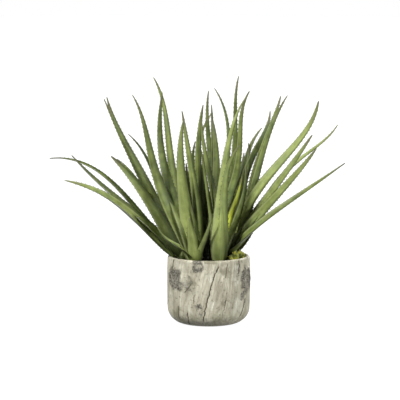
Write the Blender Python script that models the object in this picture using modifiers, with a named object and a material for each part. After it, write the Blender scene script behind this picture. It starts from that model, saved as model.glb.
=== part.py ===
"""A potted clump of toothed aloes: seven small rosettes of long, arching leaves in one weathered pot.

Metres, +Z up. The origin is the centre of the pot's flat underside. The front of the plant looks
along -Y. Leaf places are given in millimetres, because they are easier to read that way.
"""

import math
from collections import namedtuple

import bmesh
import bpy
import numpy as np
from mathutils import Matrix, Vector

MM = 0.001

# The pot: a squat straight-sided cup with a rounded heel and a thin rounded rim.
POT_DIAMETER = 148 * MM
POT_HEIGHT = 122 * MM
POT_WALL = 7 * MM
POT_FLOOR = 10 * MM
HEEL_RADIUS = 29 * MM
FLANK_BULGE = 1.3 * MM
RIM_STEPS = 4
HEEL_STEPS = 4
FLANK_STEPS = 3
ROUND_STEPS = 32
AXIS_MERGE = 0.05 * MM

# Touching pieces stay this far apart.
GAP = 0.3 * MM

# The soil that fills it, with one plain hole for each stem.
SOIL_EDGE_TOP = 114 * MM
SOIL_DOME = 2.5 * MM
SOIL_RINGS = 4
HOLE_CLEARANCE = 0.8 * MM

# The stems, each with a collar that the leaves clasp, drawn up into a spear of young leaf.
STEM_RADIUS = 9 * MM
STEM_DEPTH = 14 * MM
STEM_SIDES = 10
COLLAR_HEIGHT = 24 * MM
COLLAR_SHARE = 1.05
SPEAR_HEIGHT = 24 * MM
SPEAR_TIP = 1 * MM

# Moss cushions on the soil, cut flat a little below their middle: centre x, y and radii along x, y, z,
# in millimetres.
MOSS_CUT = -0.15
MOSS = {
    "moss_right": ((50, 30), (6, 8, 8)),
    "moss_left": ((-26, 6), (5, 6, 5)),
}

# How a leaf is shaped along its length and across it. Shares of its length run from root to tip,
# and shares across it are of its width, or of its half width or thickness for the belly.
ROOT_RISE = 5 * MM
ROOT_SPREAD = 0.45 * STEM_RADIUS
ROOT_NARROWING = 0.25
WIDEST_AT = 0.1
TANGENT_STEP = 0.001
TIP_WIDTH = 1.5 * MM
THICKNESS_SHARE = 0.32
LEAST_THICKNESS = 1.5 * MM
CHANNEL_SHARE = 0.16
BELLY_PLACE = 0.62
BELLY_SHARE = 0.52

# Marginal teeth: two to each stretch between rings, on both edges, smaller on narrow blades.
TOOTH_LENGTH = 1.9 * MM
TOOTH_HALF_BASE = 1.2 * MM
TOOTH_LEAN = 1.0 * MM
TOOTH_PLACES = (0.25, 0.75)
SMALLEST_TOOTH = 0.4
WIDE_BLADE = 10 * MM
RING_SPACING = 48 * MM
FEWEST_RINGS = 4

# One leaf: the places, in millimetres, that its midline passes on its way, the last of them its tip;
# its greatest width in millimetres; its taper, 1 where it thins evenly and less where it stays broad
# for longer; and the compass angle and height angle, in degrees, that its upper face looks towards.
Leaf = namedtuple("Leaf", "places width taper face")

# One rosette: where its stem stands on the soil, in millimetres, and its leaves.
Rosette = namedtuple("Rosette", "stem leaves")

ROSETTES = {
    "rosette_left": Rosette((-48, -8), [
        Leaf(((-129, -4, 203), (-209, 3, 280), (-288, 10, 297)), 19, 0.72, (-90, 68)),
        Leaf(((-122, -21, 191), (-200, -35, 261), (-243, -50, 308)), 24, 0.72, (-90, 62)),
        Leaf(((-136, -34, 197), (-178, -68, 235), (-254, -80, 266)), 31, 0.7, (-90, 50)),
        Leaf(((-90, -27, 193), (-140, -33, 268), (-174, -46, 306)), 25, 0.6, (-90, 25)),
        Leaf(((-96, -11, 214), (-122, -10, 268), (-171, -8, 370), (-183, 0, 409)), 33, 0.72, (-50, 20)),
        Leaf(((-121, 5, 258), (-158, 24, 332), (-190, 30, 404)), 20, 0.72, (-60, 20)),
        Leaf(((-88, 12, 227), (-112, 24, 294), (-147, 40, 339)), 16, 0.75, (-60, 40)),
    ]),
    "rosette_front_left": Rosette((-24, -42), [
        Leaf(((-75, -45, 219), (-104, -47, 310), (-116, -49, 366), (-136, -44, 415)), 34, 0.9, (-60, 20)),
        Leaf(((-74, -25, 261), (-88, -6, 345), (-86, -2, 394), (-83, 0, 417)), 27, 0.78, (-80, 20)),
        Leaf(((-45, -55, 240), (-50, -67, 310), (-44, -84, 374)), 35, 0.85, (100, 20)),
        Leaf(((-18, -34, 176), (-27, -35, 255), (-38, -35, 324), (-48, -34, 386)), 22, 0.75, (90, 20)),
        Leaf(((-19, -44, 154), (-25, -52, 187), (-31, -58, 219)), 12, 0.75, (-90, 30)),
        Leaf(((-28, -60, 154), (-32, -68, 177), (-34, -74, 200)), 30, 0.75, (95, 30)),
        Leaf(((-44, -56, 140), (-69, -68, 157), (-91, -80, 184)), 14, 0.75, (-90, 60)),
        Leaf(((-12, -58, 150), (-2, -70, 177), (5, -78, 207)), 14, 0.75, (-60, 30)),
    ]),
    "rosette_centre": Rosette((-4, 4), [
        Leaf(((-54, 10, 221), (-70, 23, 296), (-82, 41, 390), (-101, 50, 442)), 25, 0.7, (-60, 20)),
        Leaf(((-19, -1, 254), (-18, -8, 330), (-10, -14, 396)), 23, 0.7, (90, 20)),
        Leaf(((9, 10, 247), (8, 14, 320), (5, 20, 394)), 18, 0.75, (-100, 20)),
        Leaf(((-18, 16, 264), (-10, 24, 349), (7, 30, 379)), 14, 0.75, (-90, 20)),
        Leaf(((-24, 20, 236), (-29, 30, 284), (-24, 36, 327)), 22, 0.75, (-110, 30)),
        Leaf(((49, 12, 252), (60, 20, 282), (64, 26, 307)), 22, 0.75, (-100, 20)),
        Leaf(((-9, 14, 224), (-9, 20, 274), (-6, 26, 323)), 24, 0.75, (-90, 20)),
        Leaf(((-22, 12, 190), (-34, 16, 240), (-41, 20, 288)), 20, 0.75, (-90, 20)),
    ]),
    "rosette_front_right": Rosette((18, -40), [
        Leaf(((6, -30, 247), (-6, -28, 304), (-13, -24, 370)), 19, 0.75, (80, 20)),
        Leaf(((0, -40, 227), (-8, -46, 279), (-14, -52, 319)), 12, 0.75, (90, 20)),
        Leaf(((12, -18, 250), (12, -10, 315), (4, 0, 376)), 28, 0.75, (-70, 20)),
        Leaf(((21, -57, 213), (33, -56, 319), (52, -55, 387), (67, -44, 412)), 34, 1.15, (100, 15)),
        Leaf(((28, -66, 260), (38, -72, 301), (54, -80, 328)), 22, 0.75, (-80, 30)),
        Leaf(((27, -10, 197), (44, 0, 282), (48, 4, 399), (54, 10, 446)), 18, 0.7, (-100, 20)),
        Leaf(((23, -21, 198), (54, -16, 311), (56, -15, 350), (73, -14, 420)), 18, 0.62, (-90, 20)),
        Leaf(((56, -20, 208), (65, -20, 245), (66, -20, 286)), 18, 0.75, (-100, 20)),
        Leaf(((45, -36, 216), (52, -42, 238), (59, -48, 271)), 17, 0.75, (-90, 20)),
        Leaf(((30, -22, 151), (35, -16, 177), (37, -10, 205)), 22, 0.75, (-80, 20)),
    ]),
    "rosette_right": Rosette((34, 3), [
        Leaf(((57, 24, 198), (69, 34, 270), (100, 38, 337), (112, 50, 381)), 26, 0.72, (-110, 20)),
        Leaf(((65, 7, 179), (99, 10, 318), (125, 14, 392), (130, 18, 410)), 25, 0.72, (-105, 20)),
        Leaf(((81, -4, 246), (104, -6, 330), (141, -8, 412)), 20, 0.75, (-110, 20)),
        Leaf(((63, -16, 198), (115, -19, 276), (176, -21, 352), (195, -26, 403)), 27, 0.56, (-120, 30)),
        Leaf(((93, -27, 212), (149, -37, 291), (183, -48, 344)), 25, 0.56, (-110, 50)),
        Leaf(((97, 4, 209), (158, 4, 290), (209, 10, 330), (233, 16, 358)), 17, 0.65, (-110, 50)),
        Leaf(((92, -36, 202), (150, -56, 270), (189, -70, 322)), 24, 0.66, (-95, 30)),
        Leaf(((82, -57, 180), (197, -81, 267), (237, -100, 299)), 21, 0.75, (-90, 56)),
        Leaf(((50, -6, 159), (56, -8, 195), (60, -8, 227)), 20, 0.75, (-110, 20)),
    ]),
    "rosette_back": Rosette((12, 46), [
        Leaf(((7, 50, 267), (-2, 60, 352), (0, 70, 417)), 20, 0.75, (-90, 20)),
        Leaf(((36, 56, 306), (32, 66, 370), (10, 80, 421)), 14, 0.75, (-90, 30)),
        Leaf(((63, 50, 261), (78, 60, 317), (99, 70, 349)), 22, 0.75, (-100, 30)),
        Leaf(((65, 44, 253), (72, 52, 288), (73, 58, 322)), 18, 0.75, (-90, 20)),
        Leaf(((16, 96, 205), (14, 140, 251), (10, 200, 263)), 26, 0.75, (-90, 70)),
        Leaf(((52, 84, 229), (84, 120, 289), (102, 168, 313)), 24, 0.75, (-110, 50)),
        Leaf(((12, 80, 235), (14, 116, 291), (4, 156, 335)), 28, 0.75, (-90, 40)),
        Leaf(((-10, 90, 189), (-26, 140, 227), (-46, 190, 235)), 22, 0.75, (-80, 70)),
        Leaf(((36, 94, 189), (50, 144, 229), (60, 196, 239)), 24, 0.75, (-100, 70)),
    ]),
    "rosette_back_left": Rosette((-36, 36), [
        Leaf(((-72, 70, 211), (-96, 104, 263), (-106, 150, 291)), 26, 0.75, (-60, 60)),
        Leaf(((-46, 64, 205), (-52, 92, 257), (-52, 120, 297)), 24, 0.75, (-80, 30)),
        Leaf(((-99, 52, 196), (-138, 84, 255), (-172, 118, 287)), 22, 0.75, (-60, 70)),
        Leaf(((-46, 84, 177), (-58, 132, 211), (-72, 180, 217)), 19, 0.75, (-80, 75)),
        Leaf(((-79, 46, 209), (-98, 60, 270), (-113, 80, 319)), 19, 0.75, (-60, 40)),
        Leaf(((-38, 30, 175), (-38, 34, 211), (-36, 36, 245)), 24, 0.75, (-90, 20)),
    ]),
}


def clear_scene():
    """Removes every object, so that a second run starts clean."""
    for item in list(bpy.data.objects):
        bpy.data.objects.remove(item)


def new_collection(name, hidden=False):
    """A named collection under the scene's own."""
    group = bpy.data.collections.new(name)
    group.hide_render = hidden
    bpy.context.scene.collection.children.link(group)
    return group


def material(name, colour, roughness):
    """A plain Principled material."""
    made = bpy.data.materials.new(name)
    made.use_nodes = True
    shader = made.node_tree.nodes["Principled BSDF"]
    shader.inputs["Base Color"].default_value = (*colour, 1)
    shader.inputs["Roughness"].default_value = roughness
    shader.inputs["Metallic"].default_value = 0
    return made


def add_object(name, mesh, group, finish=None):
    """Wraps a mesh in an object and links it."""
    item = bpy.data.objects.new(name, mesh)
    group.objects.link(item)
    if finish is not None:
        mesh.materials.append(finish)
    return item


def mesh_from(bm, name, smooth_angle=None):
    """Writes a bmesh to a new mesh and frees it."""
    mesh = bpy.data.meshes.new(name)
    bm.to_mesh(mesh)
    bm.free()
    if smooth_angle is not None:
        mesh.shade_smooth()
        mesh.set_sharp_from_angle(angle=math.radians(smooth_angle))
    return mesh


def apply_modifiers(item):
    """Replaces an object's mesh by its evaluated one."""
    graph = bpy.context.evaluated_depsgraph_get()
    made = bpy.data.meshes.new_from_object(item.evaluated_get(graph))
    item.modifiers.clear()
    item.data = made


def arc(centre, radius, start, end, steps):
    """Points (radius, height) along an arc, angles in degrees."""
    points = []
    for i in range(steps + 1):
        angle = math.radians(start + (end - start) * i / steps)
        points.append((centre[0] + radius * math.cos(angle), centre[1] + radius * math.sin(angle)))
    return points


def turned(name, profile, group, finish):
    """A solid of revolution. Its profile starts and ends on the axis and runs down the outer side."""
    mesh = bpy.data.meshes.new(name)
    edges = [(i, i + 1) for i in range(len(profile) - 1)]
    mesh.from_pydata([(r, 0, z) for r, z in profile], edges, [])
    item = add_object(name, mesh, group, finish)
    screw = item.modifiers.new("turn", "SCREW")
    screw.steps = ROUND_STEPS
    screw.render_steps = ROUND_STEPS
    screw.use_merge_vertices = True
    screw.merge_threshold = AXIS_MERGE
    screw.use_smooth_shade = True
    return item


def flank(top, bottom, steps):
    """The outer side between the rim and the heel, a touch fuller half way down."""
    points = []
    for i in range(1, steps):
        share = i / steps
        radius = POT_DIAMETER / 2 + FLANK_BULGE * math.sin(math.pi * share)
        points.append((radius, top + (bottom - top) * share))
    return points


def build_pot(group):
    """The cup: rim, flank, rounded heel, flat foot and a plain hollow inside."""
    outer = POT_DIAMETER / 2
    inner = outer - POT_WALL
    lip = POT_WALL / 2
    hollow = HEEL_RADIUS - POT_WALL
    bowl = arc((inner - hollow, POT_FLOOR + hollow), hollow, -90, 0, HEEL_STEPS)
    rim = arc((outer - lip, POT_HEIGHT - lip), lip, 180, 0, RIM_STEPS)
    side = flank(POT_HEIGHT - lip, HEEL_RADIUS, FLANK_STEPS)
    heel = arc((outer - HEEL_RADIUS, HEEL_RADIUS), HEEL_RADIUS, 0, -90, HEEL_STEPS)
    profile = [(0, POT_FLOOR)] + bowl + rim + side + heel + [(0, 0)]
    return turned("pot", profile, group, material("pot", (0.47, 0.43, 0.35), 0.75))


def soil_profile():
    """The soil's outline: a low dome on a plug that follows the hollow of the pot."""
    radius = POT_DIAMETER / 2 - POT_WALL - GAP
    corner = HEEL_RADIUS - POT_WALL
    floor = POT_FLOOR + GAP
    top = []
    for i in range(SOIL_RINGS + 1):
        share = i / SOIL_RINGS
        top.append((radius * share, SOIL_EDGE_TOP + SOIL_DOME * (1 - share * share)))
    return top + arc((radius - corner, floor + corner), corner, 0, -90, HEEL_STEPS) + [(0, floor)]


def soil_top(x, y):
    """Height of the soil's dome under a point."""
    radius = POT_DIAMETER / 2 - POT_WALL - GAP
    return SOIL_EDGE_TOP + SOIL_DOME * (1 - (x * x + y * y) / radius**2)


def upright_rod(bm, radius, depth, middle):
    """A plain upright cylinder with as many sides as a stem."""
    place = Matrix.Translation(middle)
    bmesh.ops.create_cone(
        bm, cap_ends=True, segments=STEM_SIDES, radius1=radius, radius2=radius, depth=depth, matrix=place
    )


def stem_hole(name, middle, group):
    """The cutter for one stem's plain round hole."""
    bm = bmesh.new()
    upright_rod(bm, STEM_RADIUS + HOLE_CLEARANCE, 2 * STEM_DEPTH, middle)
    item = add_object(name, mesh_from(bm, name), group)
    item.display_type = "WIRE"
    item.hide_render = True
    return item


def build_soil(group, cutters):
    """The filled body of soil with a hole under every stem."""
    soil = turned("soil", soil_profile(), group, material("soil", (0.045, 0.032, 0.022), 0.95))
    for name, rosette in ROSETTES.items():
        x, y = (v * MM for v in rosette.stem)
        stem_hole(name + "_hole", (x, y, soil_top(x, y)), cutters)
    cut = soil.modifiers.new("holes", "BOOLEAN")
    cut.operand_type = "COLLECTION"
    cut.collection = cutters
    cut.operation = "DIFFERENCE"
    cut.solver = "EXACT"
    return soil


def build_moss(group):
    """Low cushions, each half of a squashed ball resting on the soil."""
    finish = material("moss", (0.28, 0.27, 0.05), 0.95)
    for name, (place, radii) in MOSS.items():
        x, y = (v * MM for v in place)
        bm = bmesh.new()
        bmesh.ops.create_icosphere(bm, subdivisions=2, radius=1)
        whole = bm.verts[:] + bm.edges[:] + bm.faces[:]
        cut = bmesh.ops.bisect_plane(
            bm, geom=whole, plane_co=(0, 0, MOSS_CUT), plane_no=(0, 0, -1), clear_outer=True
        )
        rim = [e for e in cut["geom_cut"] if isinstance(e, bmesh.types.BMEdge)]
        bmesh.ops.edgeloop_fill(bm, edges=rim)
        bmesh.ops.scale(bm, verts=bm.verts, vec=[r * MM for r in radii])
        low = min(v.co.z for v in bm.verts)
        bmesh.ops.translate(bm, verts=bm.verts, vec=(x, y, soil_top(x, y) + 2 * GAP - low))
        bmesh.ops.recalc_face_normals(bm, faces=bm.faces)
        add_object(name, mesh_from(bm, name, smooth_angle=60), group, finish)


def midline(root, leaf):
    """One smooth curve through a leaf's root and its places, as a function of 0..1."""
    points = [root] + [Vector(p) * MM for p in leaf.places]
    reached = [0.0]
    for a, b in zip(points, points[1:]):
        reached.append(reached[-1] + (b - a).length)
    shares = [r / reached[-1] for r in reached]
    fits = [np.polyfit(shares, [p[axis] for p in points], len(leaf.places)) for axis in range(3)]
    return lambda share: Vector([float(np.polyval(fit, share)) for fit in fits])


def leaf_width(leaf, share):
    """Narrow at the root, full a tenth of the way up, then drawn out to a fine tip."""
    root = 1 - ROOT_NARROWING * max(0.0, 1 - share / WIDEST_AT) ** 2
    taper = (1 - min(1.0, share)) ** leaf.taper
    return TIP_WIDTH + (leaf.width * MM - TIP_WIDTH) * root * taper


def cross_section(width):
    """Six points round the blade: edge, channel, edge, then belly, keel and belly underneath."""
    half = width / 2
    thick = max(THICKNESS_SHARE * width, LEAST_THICKNESS)
    edge = CHANNEL_SHARE * width
    belly = edge * BELLY_PLACE - thick * BELLY_SHARE
    return [
        (-half, edge),
        (0, 0),
        (half, edge),
        (half * BELLY_PLACE, belly),
        (0, -thick),
        (-half * BELLY_PLACE, belly),
    ]


def face_vector(face):
    """The direction that a leaf's upper face looks towards."""
    turn, height = (math.radians(a) for a in face)
    return Vector((math.cos(turn) * math.cos(height), math.sin(turn) * math.cos(height), math.sin(height)))


def leaf_rings(bm, leaf, root, count):
    """One ring of vertices at each of count places along the midline, none of them in the soil."""
    line = midline(root, leaf)
    upward = face_vector(leaf.face)
    lowest = root.z - ROOT_RISE + GAP
    rings = []
    for i in range(count):
        share = i / (count - 1)
        along = (line(share + TANGENT_STEP) - line(share - TANGENT_STEP)).normalized()
        across = along.cross(upward).normalized()
        up = across.cross(along)
        ring = []
        for side, height in cross_section(leaf_width(leaf, share)):
            place = line(share) + across * side + up * height
            place.z = max(place.z, lowest)
            ring.append(bm.verts.new(place))
        rings.append(ring)
    return rings


def margin_path(bm, low, high, outward):
    """The edge between two rings as base, tooth, valley, tooth, base."""
    start = low.co.copy()
    run = high.co - start
    along = run.normalized()
    size = min(1.0, SMALLEST_TOOTH + outward.length / WIDE_BLADE)
    reach = outward.normalized() * TOOTH_LENGTH * size + along * TOOTH_LEAN * size
    half = along * TOOTH_HALF_BASE * size
    first, second = (start + run * place for place in TOOTH_PLACES)
    places = (first - half, first + reach, (first + second) / 2, second + reach, second + half)
    return [low] + [bm.verts.new(p) for p in places] + [high]


def margin_strip(bm, path, low_hub, high_hub):
    """Fans the blade's surface from a margin's path to the next line of vertices."""
    middle = len(path) // 2
    for a, b in zip(path[:middle], path[1:]):
        bm.faces.new((a, b, low_hub))
    for a, b in zip(path[middle:], path[middle + 1 :]):
        bm.faces.new((a, b, high_hub))
    bm.faces.new((path[middle], high_hub, low_hub))


def skin(bm, rings):
    """The blade's surface: plain under the keel, toothed along both margins, capped at both ends.

    A ring's vertices are 0 and 2 on the margins, 1 in the channel, 3 and 5 on the belly, 4 on the keel.
    """
    for number, (low, high) in enumerate(zip(rings, rings[1:])):
        for edge, upper, under in ((0, 1, 5), (2, 1, 3)):
            path = [low[edge], high[edge]]
            if number > 0:
                outward = (low[edge].co + high[edge].co - low[4].co - high[4].co) / 2
                path = margin_path(bm, low[edge], high[edge], outward)
            margin_strip(bm, path, low[upper], high[upper])
            margin_strip(bm, path, low[under], high[under])
        for a, b in ((3, 4), (4, 5)):
            bm.faces.new((low[a], low[b], high[b], high[a]))
    bm.faces.new(reversed(rings[0]))
    bm.faces.new(rings[-1])


def add_leaf(name, leaf, root, group):
    """One toothed leaf as a closed mesh of its own."""
    bm = bmesh.new()
    tip = Vector(leaf.places[-1]) * MM
    count = max(FEWEST_RINGS, round((tip - root).length / RING_SPACING) + 2)
    skin(bm, leaf_rings(bm, leaf, root, count))
    bmesh.ops.triangulate(bm, faces=bm.faces)
    bmesh.ops.recalc_face_normals(bm, faces=bm.faces)
    return add_object(name, mesh_from(bm, name), group)


def build_stem(name, x, y, ground, group, finish):
    """A stem that stands in its hole, with its collar and the tight young spear at the rosette's heart."""
    bm = bmesh.new()
    foot = STEM_DEPTH - GAP
    upright_rod(bm, STEM_RADIUS, foot, (x, y, ground - foot / 2))
    for share, rise in ((COLLAR_SHARE, COLLAR_HEIGHT), (SPEAR_TIP / STEM_RADIUS, SPEAR_HEIGHT)):
        top = max(bm.faces, key=lambda face: face.calc_center_median().z)
        made = bmesh.ops.extrude_face_region(bm, geom=[top])
        bmesh.ops.delete(bm, geom=[top], context="FACES_ONLY")
        end = [v for v in made["geom"] if isinstance(v, bmesh.types.BMVert)]
        bmesh.ops.scale(bm, verts=end, vec=(share, share, 1), space=Matrix.Translation((-x, -y, 0)))
        bmesh.ops.translate(bm, verts=end, vec=(0, 0, rise))
    return add_object(name, mesh_from(bm, name), group, finish)


def build_rosette(name, rosette, group, finish):
    """A stem with all its leaves joined to it in one body."""
    x, y = (v * MM for v in rosette.stem)
    ground = soil_top(x, y)
    stem = build_stem(name, x, y, ground, group, finish)
    leaves = bpy.data.collections.new(name + "_leaves")
    bpy.context.scene.collection.children.link(leaves)
    for number, leaf in enumerate(rosette.leaves):
        first = Vector(leaf.places[0]) * MM
        outward = Vector((first.x - x, first.y - y, 0))
        outward.normalize()
        root = Vector((x, y, ground + ROOT_RISE)) + outward * ROOT_SPREAD
        add_leaf(f"{name}_{number}", leaf, root, leaves)
    join = stem.modifiers.new("join", "BOOLEAN")
    join.operand_type = "COLLECTION"
    join.collection = leaves
    join.operation = "UNION"
    join.solver = "MANIFOLD"
    apply_modifiers(stem)
    for item in list(leaves.objects):
        bpy.data.objects.remove(item)
    bpy.data.collections.remove(leaves)
    return stem


def build():
    """The whole plant in its pot."""
    clear_scene()
    plant = new_collection("potted_aloe")
    cutters = new_collection("cutters", hidden=True)
    build_pot(plant)
    build_soil(plant, cutters)
    build_moss(plant)
    green = material("leaf", (0.19, 0.27, 0.09), 0.45)
    for name, rosette in ROSETTES.items():
        build_rosette(name, rosette, plant, green)


build()
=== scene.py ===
# %% [markdown]
# # A potted clump of toothed aloes
#
# The real thing is seven small rosettes of long, arching, toothed leaves that share one squat pot,
# glazed to look like weathered grey wood with knots, cracks and upright grain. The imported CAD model
# gives every size and place. This lesson loads it as a fixed frame and dresses it: fine leaves, a
# pot with carved relief, crumbly soil, moss, then a floor, lamps and a camera.

import random
from collections import namedtuple
from math import atan, atan2, cos, degrees, exp, hypot, pi, radians, sin, sqrt, tau

import bmesh
import bpy
import numpy as np
from mathutils import Matrix, Vector, noise


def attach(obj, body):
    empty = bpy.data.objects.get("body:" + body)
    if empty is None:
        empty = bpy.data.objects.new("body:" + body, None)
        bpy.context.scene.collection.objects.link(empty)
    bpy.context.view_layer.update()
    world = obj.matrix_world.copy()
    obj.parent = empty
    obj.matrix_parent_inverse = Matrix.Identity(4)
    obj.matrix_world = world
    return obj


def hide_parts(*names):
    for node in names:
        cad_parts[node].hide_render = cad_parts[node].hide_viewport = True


MM = 0.001
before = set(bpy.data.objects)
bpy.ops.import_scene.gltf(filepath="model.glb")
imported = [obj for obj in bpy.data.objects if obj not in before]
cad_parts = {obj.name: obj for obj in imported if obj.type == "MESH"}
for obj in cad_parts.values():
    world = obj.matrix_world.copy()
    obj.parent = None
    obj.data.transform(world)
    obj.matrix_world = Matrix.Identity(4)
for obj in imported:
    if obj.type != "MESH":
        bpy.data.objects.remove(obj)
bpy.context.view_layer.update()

# %% [markdown]
# ## Tools for materials
#
# Each finish is a small network of shader nodes. A few helpers keep it short to write: they add a
# node, link a value or a socket into an input, and do the sums, ramps and mixing. A finish reads
# attributes that the mesh carries, so it stays in place when the piece is exported.


# %% Node helpers
def add_node(tree, kind, inputs=None, **settings):
    """Adds a node, sets its properties, and fills its inputs with values or sockets."""
    made = tree.nodes.new("ShaderNode" + kind)
    for key, value in settings.items():
        setattr(made, key, value)
    for key, value in (inputs or {}).items():
        feed(tree, made.inputs[key], value)
    return made


def feed(tree, socket, value):
    """Links a socket into an input, or sets the input to a plain value."""
    if isinstance(value, bpy.types.NodeSocket):
        tree.links.new(value, socket)
    elif hasattr(value, "__len__") and len(value) == 3 and socket.type == "RGBA":
        socket.default_value = (*value, 1)
    else:
        socket.default_value = value


def sums(tree, operation, *values):
    """One Math node on up to three values or sockets."""
    made = add_node(tree, "Math", operation=operation)
    for socket, value in zip(made.inputs, values):
        feed(tree, socket, value)
    return made.outputs[0]


def times(tree, value, factor, plus=0.0):
    """A value times another one, plus a third."""
    return sums(tree, "MULTIPLY_ADD", value, factor, plus)


def spread(tree, value, low, high, new_low=0.0, new_high=1.0):
    """Remaps a value smoothly, held inside its new ends."""
    names = ("Value", "From Min", "From Max", "To Min", "To Max")
    inputs = dict(zip(names, (value, low, high, new_low, new_high)))
    made = add_node(tree, "MapRange", inputs, interpolation_type="SMOOTHSTEP")
    return made.outputs["Result"]


def layered(tree, colour, *layers):
    """Lays more colours over a first one, each by its own share and strength."""
    for share, strength, over in layers:
        made = add_node(tree, "Mix", data_type="RGBA")
        for number, value in ((0, times(tree, share, strength)), (6, colour), (7, over)):
            feed(tree, made.inputs[number], value)
        colour = made.outputs[2]
    return colour


def ramp(tree, share, stops):
    """A colour ramp from a list of (place, colour)."""
    made = add_node(tree, "ValToRGB", {"Fac": share})
    marks = made.color_ramp.elements
    while len(marks) < len(stops):
        marks.new(0.5)
    for mark, (place, colour) in zip(marks, stops):
        mark.position = place
        mark.color = (*colour, 1)
    return made.outputs["Color"]


def carried(tree, name, kind="Fac"):
    """A value that the mesh carries as an attribute."""
    return add_node(tree, "Attribute", attribute_name=name).outputs[kind]


def axes(tree, vector):
    """The X, Y and Z of a vector."""
    return add_node(tree, "SeparateXYZ", {"Vector": vector}).outputs


print("node helpers ready")

# %% [markdown]
# ## Effects that several finishes share
#
# Bark, leaf, soil and moss are all uneven at two scales: broad soft patches, and fine lines or
# specks. Both are node groups, built once and placed in each material with its own values.
# `patches` is soft noise with a chosen contrast, and `streaks` is such noise stretched along one
# direction, like grain in wood and veins in a leaf.


# %% Shared node groups
def new_group(name, **numbers):
    """A node group with a Vector and some numbers going in, and one Value coming out."""
    tree = bpy.data.node_groups.new(name, "ShaderNodeTree")
    sockets = tree.interface
    sockets.new_socket(name="Vector", in_out="INPUT", socket_type="NodeSocketVector")
    for label, value in numbers.items():
        socket = sockets.new_socket(name=label, in_out="INPUT", socket_type="NodeSocketFloat")
        socket.default_value = value
    sockets.new_socket(name="Value", in_out="OUTPUT", socket_type="NodeSocketFloat")
    given = tree.nodes.new("NodeGroupInput").outputs
    return tree, given, tree.nodes.new("NodeGroupOutput").inputs["Value"]


def make_patches():
    """Soft noise between two contrast ends."""
    tree, given, result = new_group("patches", Scale=20, Detail=3, Low=0.35, High=0.65)
    taken = {key: given[key] for key in ("Vector", "Scale", "Detail")}
    soft = add_node(tree, "TexNoise", taken).outputs["Fac"]
    feed(tree, result, spread(tree, soft, given["Low"], given["High"]))
    return tree


def make_streaks():
    """Noise drawn out along the last axis of its vector."""
    tree, given, result = new_group("streaks", Fineness=300, Stretch=0.08, Low=0.35, High=0.65)
    x, y, z = axes(tree, given["Vector"])
    short = times(tree, z, given["Stretch"])
    drawn = add_node(tree, "CombineXYZ", {"X": x, "Y": y, "Z": short}).outputs[0]
    taken = {"Vector": drawn, "Scale": given["Fineness"], "Detail": 4.0}
    line = add_node(tree, "TexNoise", taken).outputs["Fac"]
    feed(tree, result, spread(tree, line, given["Low"], given["High"]))
    return tree


PATCHES = make_patches()
STREAKS = make_streaks()
print("groups:", PATCHES.name, STREAKS.name)


# %% Placing a group and starting a material
def use(tree, group, place, **inputs):
    """Places a node group, fills its inputs and returns its one output."""
    return add_node(tree, "Group", {"Vector": place, **inputs}, node_tree=group).outputs[0]


def new_material(name):
    """A material with its node tree and its Principled shader."""
    made = bpy.data.materials.new(name)
    made.use_nodes = True
    return made, made.node_tree, made.node_tree.nodes["Principled BSDF"]


def own_place(tree):
    """Object coordinates, which are the row frame's own metres."""
    return add_node(tree, "TexCoord").outputs["Object"]


def painted(tree, shader, colour, roughness):
    """Feeds the shader's colour and its roughness."""
    feed(tree, shader.inputs["Base Color"], colour)
    feed(tree, shader.inputs["Roughness"], roughness)


def raised(tree, shader, height, depth, strength=1.0):
    """Feeds a height through a Bump node into the shader's Normal."""
    inputs = {"Height": height, "Distance": depth, "Strength": strength}
    feed(tree, shader.inputs["Normal"], add_node(tree, "Bump", inputs).outputs["Normal"])


print("material helpers ready")

# %% [markdown]
# ## Making a piece
#
# Every finished piece is one object at the origin, with its place in its mesh, as the CAD nodes
# are. It rides on the row's only body, takes the finish it is given, and may stand for CAD nodes,
# which are then hidden.


# %% Finishing a piece
def mesh_of(name, bm):
    """Writes a bmesh out as a mesh and frees it."""
    mesh = bpy.data.meshes.new(name)
    bm.to_mesh(mesh)
    bm.free()
    return mesh


def add_object(name, data):
    """Puts a mesh, a lamp or a camera into the scene at the origin."""
    made = bpy.data.objects.new(name, data)
    bpy.context.scene.collection.objects.link(made)
    return made


def finish_piece(name, bm, material, nodes=(), crease=None):
    """Writes a bmesh out as a shown piece that rides on the root body."""
    mesh = mesh_of(name, bm)
    mesh.shade_smooth()
    if crease is not None:
        mesh.set_sharp_from_angle(angle=radians(crease))
    mesh.materials.append(material)
    piece = add_object(name, mesh)
    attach(piece, "root")
    if nodes:
        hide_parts(*nodes)
    triangles = sum(len(face.vertices) - 2 for face in mesh.polygons)
    print(f"{name}: {len(mesh.polygons)} faces, {triangles} triangles")


print("piece helpers ready")

# %% [markdown]
# ## The pot's form
#
# The real pot is a cast ceramic cup, squat and straight-sided, with a rounded heel and a thin
# rounded rim. Half its section is drawn by a pen, a vertex that is extruded in a straight line or
# spun along an arc, and then turned. The outer side gets many points, because the grain, the knots
# and the cracks are carved into it afterwards.

# %% Pot sizes
POT_RADIUS = 74 * MM
POT_HEIGHT = 122 * MM
POT_WALL = 7 * MM
POT_FLOOR = 10 * MM
HEEL_RADIUS = 29 * MM
FLANK_BULGE = 1.3 * MM
ROUND_STEPS = 400
FLANK_STEPS = 80
SAME_PLACE = 0.01 * MM


# %% A pen that draws a section
def draw_line(bm, pen, radius, height, steps=1):
    """Extrudes the pen's vertex in a straight line and returns the last vertex."""
    start, end = pen.co.copy(), Vector((radius, 0, height))
    for step in range(steps):
        pen = bmesh.ops.extrude_vert_indiv(bm, verts=[pen])["verts"][0]
        pen.co = start.lerp(end, (step + 1) / steps)
    return pen


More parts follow.
